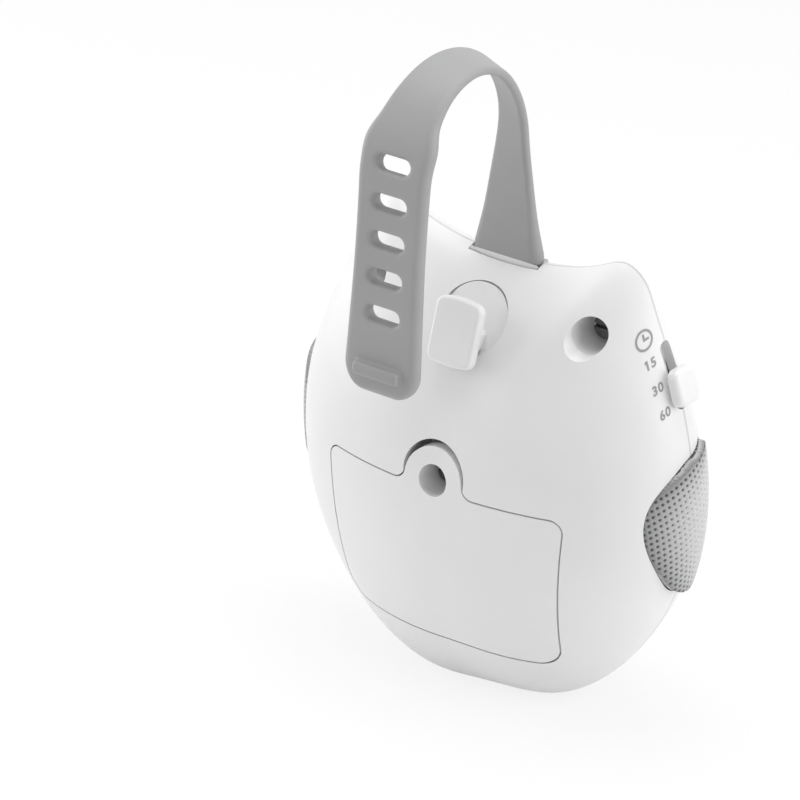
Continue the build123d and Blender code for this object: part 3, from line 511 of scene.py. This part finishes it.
def rounded_block(name, length, height, depth, edge, place, along, up):
    """Block with all its edges rounded, lying on the strap with its length along one direction."""
    made = bmesh.new()
    bmesh.ops.create_cube(made, size=1)
    for vert in made.verts:
        vert.co = Vector((vert.co.x * length, vert.co.y * height, vert.co.z * depth))
    bmesh.ops.bevel(
        made,
        geom=made.edges[:],
        offset=edge,
        segments=BEVEL_STEPS,
        profile=ROUND_PROFILE,
        affect="EDGES",
    )
    third = up.cross(along)
    for vert in made.verts:
        vert.co = place + along * vert.co.x + third * vert.co.y + up * vert.co.z
    bmesh.ops.recalc_face_normals(made, faces=made.faces[:])
    mesh = bpy.data.meshes.new(name)
    made.to_mesh(mesh)
    made.free()
    return new_object(name, mesh)


def combine(obj, other, operation):
    """Joins or cuts another object into obj and removes the other."""
    modifier = obj.modifiers.new("combine", "BOOLEAN")
    modifier.object = other
    modifier.operation = operation
    modifier.solver = "EXACT"
    bake(obj)
    bpy.data.objects.remove(other, do_unlink=True)


def make_strap():
    """Soft strap swept along its arch, with slots and a grip bar near the free end."""
    straight = strap_length - TAIL_CORNER + ROOT_SINK
    lengths = [straight * i / STRAP_RINGS - ROOT_SINK for i in range(STRAP_RINGS)]
    for step in range(TAIL_END_STEPS + 1):
        turn = math.pi / 2 * step / TAIL_END_STEPS
        lengths.append(strap_length - TAIL_CORNER * (1 - math.sin(turn)))
    strap = tube("strap_soft", [strap_ring(length) for length in lengths])
    for index in range(SLOT_COUNT):
        cutter = slot_cutter(f"slot_{index}", SLOT_FROM_END + index * SLOT_PITCH)
        combine(strap, cutter, "DIFFERENCE")
    middle, wide, proud = strap_frame(strap_length - GRIP_FROM_END, 0)
    depth = TAIL_THICKNESS / 2 + GRIP_RISE
    seat = middle + proud * (depth / 2)
    grip = rounded_block("grip", GRIP_LENGTH, GRIP_HEIGHT, depth, GRIP_EDGE, seat, wide, proud)
    combine(strap, grip, "UNION")
    even = strap.modifiers.new("even", "REMESH")
    even.mode = "VOXEL"
    even.voxel_size = STRAP_VOXEL
    soft = strap.modifiers.new("soft", "SMOOTH")
    soft.factor = SOFTEN_SHARE
    soft.iterations = SOFTEN_ROUNDS
    bake(strap)
    smooth_shading(strap.data)
    return strap


def surface(obj):
    """Search tree over an object's faces in the CAD frame."""
    graph = bpy.context.evaluated_depsgraph_get()
    mesh = obj.evaluated_get(graph).data
    points = [obj.matrix_world @ vert.co for vert in mesh.vertices]
    return BVHTree.FromPolygons(points, [list(face.vertices) for face in mesh.polygons])


def row_lengths(x, y):
    """Length along a row of points, seen from above, from its first point."""
    return np.concatenate([[0], np.cumsum(np.hypot(np.diff(x), np.diff(y)))])


def knit_pits(along_row, z):
    """Depth share of the knit's holes, which stand in leaning columns, each half a row off the next."""
    column = (along_row - KNIT_LEAN * z) / KNIT_COLUMN
    row = z / KNIT_ROW + 0.5 * (np.floor(column) % 2)
    across = (column % 1 - 0.5) * KNIT_COLUMN / HOLE_WIDTH
    along = (row % 1 - 0.5) * KNIT_ROW / HOLE_HEIGHT
    return np.exp(-((across + HOLE_SLANT * along) ** 2) * HOLE_SHARPNESS - along**2 * HOLE_SHARPNESS)


def crowded(count):
    """Shares from 0 to 1 that stand closer together at both ends."""
    even = np.linspace(0, 1, count)
    return even - END_CROWDING * np.sin(2 * math.pi * even) / (2 * math.pi)


def wing_depth(tree, side, y, z):
    """X of a wing's surface at Y and Z, or None beside the wing."""
    found = tree.ray_cast(Vector((side * RAY_REACH, y, z)), Vector((-side, 0, 0)))[0]
    return None if found is None else found.x


def wing_edge(tree, side, inside, outside, z):
    """Y of a wing's edge at a height, between a Y on the wing and one beside it."""
    for _ in range(EDGE_HALVINGS):
        middle = (inside + outside) / 2
        if wing_depth(tree, side, middle, z) is None:
            outside = middle
        else:
            inside = middle
    return inside


def cloth_grid(side, name):
    """Grid of points on a wing's surface, with the lengths along its rows and from its rear edge."""
    low, high = (Vector(corner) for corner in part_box(f"wing_mesh_{name}"))
    tree = surface(nodes[f"wing_mesh_{name}"])
    middle = (low.y + high.y) / 2
    rows = int((high.z - low.z) / KNIT_STEP)
    columns = int((high.y - low.y) / KNIT_STEP)
    heights = low.z + EDGE_MARGIN + (high.z - low.z - 2 * EDGE_MARGIN) * crowded(rows)
    probes = np.linspace(low.y, high.y, EDGE_PROBES)
    grid = []
    along_row = []
    from_rear = []
    for z in heights:
        found = [y for y in probes if wing_depth(tree, side, y, z) is not None]
        if not found:
            continue
        first = wing_edge(tree, side, found[0], low.y - EDGE_MARGIN, z)
        last = wing_edge(tree, side, found[-1], high.y + EDGE_MARGIN, z)
        line = first + (last - first) * crowded(columns)
        depths = [wing_depth(tree, side, y, z) for y in line]
        lengths = row_lengths(depths, line)
        grid.append([(x, y, z) for x, y in zip(depths, line)])
        along_row.append(lengths - np.interp(middle, line, lengths))
        from_rear.append(last - line)
    return np.array(grid, dtype=float), np.array(along_row), np.array(from_rear)


def edge_distances(points):
    """Distance of each point of a grid from the grid's outline, seen from the side."""
    outline = np.concatenate([points[0], points[-1], points[:, 0], points[:, -1]])
    tree = KDTree(len(outline))
    for index, (_, y, z) in enumerate(outline):
        tree.insert((0, y, z), index)
    tree.balance()
    found = [tree.find((0, y, z))[2] for _, y, z in points.reshape(-1, 3)]
    return np.array(found).reshape(points.shape[:2])


def make_cloth(side, name):
    """Knitted cloth over one wing, laid on the CAD wing's own surface and tucked in at its edge, with
    painted shade along its rear edge.
    """
    points, along_row, from_rear = cloth_grid(side, name)
    rows, columns = points.shape[:2]
    from_edge = edge_distances(points)
    pits = knit_pits(along_row, points[:, :, 2]) * np.clip(from_edge / HOLE_FADE, 0, 1)
    # Painted shade: holes and yarn are painted darker towards the rear edge
    fade = np.clip(1 - from_rear / KNIT_FADE, FADE_LOW_SHARE, 1)
    shadow = np.exp(-from_rear / SHADE_REACH)
    roll = np.clip(EDGE_ROUND - from_edge, 0, EDGE_ROUND)
    drop = EDGE_ROUND - np.sqrt(EDGE_ROUND**2 - roll**2)
    points[:, :, 0] -= side * (pits * KNIT_DEPTH + drop)
    verts = [Vector(point) for point in points.reshape(-1, 3)]
    faces = []
    for row in range(rows - 1):
        for column in range(columns - 1):
            a = row * columns + column
            faces.append((a, a + 1, a + 1 + columns, a + columns))
    rim = list(range(columns))
    rim += [row * columns + columns - 1 for row in range(1, rows)]
    rim += [(rows - 1) * columns + column for column in range(columns - 2, -1, -1)]
    rim += [row * columns for row in range(rows - 2, 0, -1)]
    start = len(verts)
    verts += [verts[index] + Vector((-side * CLOTH_SINK, 0, 0)) for index in rim]
    for step, index in enumerate(rim):
        after = (step + 1) % len(rim)
        faces.append((rim[after], index, start + step, start + after))
    cloth = new_object(f"wing_cloth_{name}", mesh_from(f"wing_cloth_{name}", verts, faces))
    face_outward(cloth)
    # Red: hole depth, painted deeper towards the rear edge; green: painted shade along the rear edge
    holes = cloth.data.color_attributes.new("holes", "FLOAT_COLOR", "POINT")
    values = np.zeros((len(verts), 4), np.float32)
    values[:start, 0] = (pits * fade).ravel()
    values[:start, 1] = shadow.ravel()
    values[:, 3] = 1
    holes.data.foreach_set("color", values.ravel())
    return cloth


def add_patch(points, faces, corners):
    """Adds one flat face to lists of points and faces."""
    start = len(points)
    points.extend(Vector((x, y, 0)) for x, y in corners)
    faces.append(tuple(range(start, len(points))))


def figures(text):
    """Flat mesh points and faces of a few figures, centred on zero, with a flag on a leading 1."""
    curve = bpy.data.curves.new("figures", "FONT")
    curve.body = text
    curve.size = MARK_SIZE
    curve.align_x = "CENTER"
    curve.align_y = "CENTER"
    curve.offset = MARK_WEIGHT
    curve.space_character = MARK_SPACING
    holder = new_object("figures", curve)
    graph = bpy.context.evaluated_depsgraph_get()
    graph.update()
    mesh = bpy.data.meshes.new_from_object(holder.evaluated_get(graph))
    points = [vert.co.copy() for vert in mesh.vertices]
    faces = [tuple(face.vertices) for face in mesh.polygons]
    bpy.data.objects.remove(holder, do_unlink=True)
    if text.startswith("1"):
        left = min(point.x for point in points)
        top = max(point.y for point in points)
        tip = left - FLAG_REACH
        foot = top - FLAG_DROP
        corners = ((left, top), (left, top - FLAG_WEIGHT), (tip, foot), (tip, foot + FLAG_WEIGHT))
        add_patch(points, faces, corners)
    return points, faces


def clock_face():
    """Flat mesh points and faces of a ring with two hands."""
    points = []
    faces = []
    for radius in (CLOCK_RADIUS - CLOCK_LINE, CLOCK_RADIUS):
        for step in range(CLOCK_STEPS):
            turn = 2 * math.pi * step / CLOCK_STEPS
            points.append(Vector((radius * math.cos(turn), radius * math.sin(turn), 0)))
    for step in range(CLOCK_STEPS):
        after = (step + 1) % CLOCK_STEPS
        faces.append((step, after, CLOCK_STEPS + after, CLOCK_STEPS + step))
    half = CLOCK_LINE / 2
    upright = ((-half, -half), (half, -half), (half, CLOCK_HAND), (-half, CLOCK_HAND))
    level = ((half, -half), (CLOCK_HAND, -half), (CLOCK_HAND, half), (half, half))
    add_patch(points, faces, upright)
    add_patch(points, faces, level)
    return points, faces


def make_marks():
    """Printed figures and clock face, laid on the shell beside the timer slider."""
    tree = surface(nodes["rear_shell"])
    travel = Vector((math.sin(TIMER_TILT), 0, math.cos(TIMER_TILT)))
    made = bmesh.new()
    shapes = [(figures(text), x, z) for text, x, z in MARKS]
    shapes.append((clock_face(), *CLOCK_PLACE))
    for (points, faces), x, z in shapes:
        spot, normal = tree.ray_cast(Vector((x * MM, RAY_REACH, z * MM)), Vector((0, -1, 0)))[:2]
        level = travel.cross(normal).normalized()
        upright = normal.cross(level)
        right = level * math.cos(MARK_TURN) + upright * math.sin(MARK_TURN)
        up = upright * math.cos(MARK_LEAN) - level * math.sin(MARK_LEAN)
        verts = []
        for point in points:
            above = spot + right * point.x + up * point.y + normal * MARK_SIZE
            landed, slope = tree.ray_cast(above, -normal)[:2]
            verts.append(made.verts.new(landed + slope * MARK_LIFT))
        for face in faces:
            made.faces.new([verts[index] for index in face])
    bmesh.ops.recalc_face_normals(made, faces=made.faces[:])
    mesh = bpy.data.meshes.new("timer_marks")
    made.to_mesh(mesh)
    made.free()
    marks = new_object("timer_marks", mesh)
    thick = marks.modifiers.new("ink", "SOLIDIFY")
    thick.thickness = MARK_LIFT
    thick.offset = 0
    return marks


def make_camera():
    """Camera at the photograph's viewpoint. Returns its sideways and backward directions."""
    back = Vector((
        math.sin(CAMERA_AZIMUTH) * math.cos(CAMERA_ELEVATION),
        -math.cos(CAMERA_AZIMUTH) * math.cos(CAMERA_ELEVATION),
        math.sin(CAMERA_ELEVATION),
    ))
    sideways = Vector((0, 0, 1)).cross(back).normalized()
    upward = back.cross(sideways)
    camera = new_object("camera", bpy.data.cameras.new("camera"))
    camera.location = TARGET + back * CAMERA_DISTANCE
    aim = TARGET + sideways * AIM_SIDE + upward * AIM_UP
    turn = (aim - camera.location).to_track_quat("-Z", "Y")
    camera.rotation_mode = "QUATERNION"
    camera.rotation_quaternion = turn @ Quaternion((0, 0, 1), CAMERA_ROLL)
    camera.data.lens = CAMERA_LENS
    camera.data.sensor_width = SENSOR_WIDTH
    camera.data.clip_end = CLIP_END
    bpy.context.scene.camera = camera
    return sideways, back


def seen_rays(tree):
    """One for rays that carry a picture of what they meet: camera, glossy and transmission rays."""
    ray = tree.nodes.new("ShaderNodeLightPath")
    total = ray.outputs["Is Camera Ray"]
    for name in ("Is Glossy Ray", "Is Transmission Ray"):
        added = tree.nodes.new("ShaderNodeMath")
        added.operation = "ADD"
        added.use_clamp = True
        tree.links.new(total, added.inputs[0])
        tree.links.new(ray.outputs[name], added.inputs[1])
        total = added.outputs["Value"]
    return total


def make_floor():
    """Pale floor that looks nearly white and keeps the object's shadow."""
    corners = [(x * FLOOR_HALF, y * FLOOR_HALF, 0) for x, y in ((-1, -1), (1, -1), (1, 1), (-1, 1))]
    floor = new_object("floor", mesh_from("floor", corners, [(0, 1, 2, 3)]))
    floor.location.z = -FLOOR_DROP
    look = bpy.data.materials.new("floor")
    look.use_nodes = True
    tree = look.node_tree
    shader = tree.nodes["Principled BSDF"]
    shader.inputs["Base Color"].default_value = FLOOR_COLOUR
    shader.inputs["Roughness"].default_value = FLOOR_ROUGHNESS
    glow = tree.nodes.new("ShaderNodeEmission")
    share = tree.nodes.new("ShaderNodeMath")
    share.operation = "MULTIPLY"
    share.inputs[1].default_value = FLOOR_GLOW_SHARE
    mix = tree.nodes.new("ShaderNodeMixShader")
    tree.links.new(seen_rays(tree), share.inputs[0])
    tree.links.new(share.outputs["Value"], mix.inputs["Fac"])
    tree.links.new(shader.outputs["BSDF"], mix.inputs[1])
    tree.links.new(glow.outputs["Emission"], mix.inputs[2])
    tree.links.new(mix.outputs["Shader"], tree.nodes["Material Output"].inputs["Surface"])
    floor.data.materials.append(look)
    return floor


def make_world():
    """World that is white to look at and lights the object at a plain level."""
    world = bpy.data.worlds.new("studio")
    bpy.context.scene.world = world
    world.use_nodes = True
    tree = world.node_tree
    background = tree.nodes["Background"]
    background.inputs["Color"].default_value = WHITE
    level = spread(tree, seen_rays(tree), WORLD_LEVEL, 1, (0, 1))
    tree.links.new(level, background.inputs["Strength"])


def make_lamp(name, place, size, power):
    """Round soft lamp that faces the target."""
    lamp = bpy.data.lights.new(name, "AREA")
    lamp.shape = "DISK"
    lamp.size = size
    lamp.energy = power
    holder = new_object(name, lamp)
    holder.location = TARGET + sideways * place[0] + back * place[1] + Vector((0, 0, place[2]))
    holder.rotation_mode = "QUATERNION"
    holder.rotation_quaternion = (TARGET - holder.location).to_track_quat("-Z", "Y")


# Camera, floor and light
bpy.context.scene.view_settings.view_transform = "Standard"
sideways, back = make_camera()
floor = make_floor()
make_world()
for lamp_row in LAMPS:
    make_lamp(*lamp_row)

# Materials of the CAD nodes
looks = {slot: moulded(*row) for slot, row in MOULDED.items()}
looks.update({slot: plated(*row) for slot, row in PLATED.items()})
seamed(looks["shell"])
# Painted light: a weak glow on the bezel lifts the shade in the slider's recess
glowing(looks["bezel"], BEZEL_GLOW)
for item in frame["record"]["subparts"]:
    shade(item["node"], looks[item["material_slot"]])
shade("strap_anchor", looks["stud"])
shade("timer_bezel", looks["bezel"])

# Pieces made here
strap = make_strap()
strap.data.materials.append(looks["strap"])
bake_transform(strap)
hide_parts("strap")

knit = knitted("wing_knit")
for side, name in WINGS:
    cloth = make_cloth(side, name)
    cloth.data.materials.append(knit)
    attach(cloth, "housing")
    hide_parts(f"wing_mesh_{name}")

marks = make_marks()
marks.data.materials.append(looks["ink"])
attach(marks, "housing")
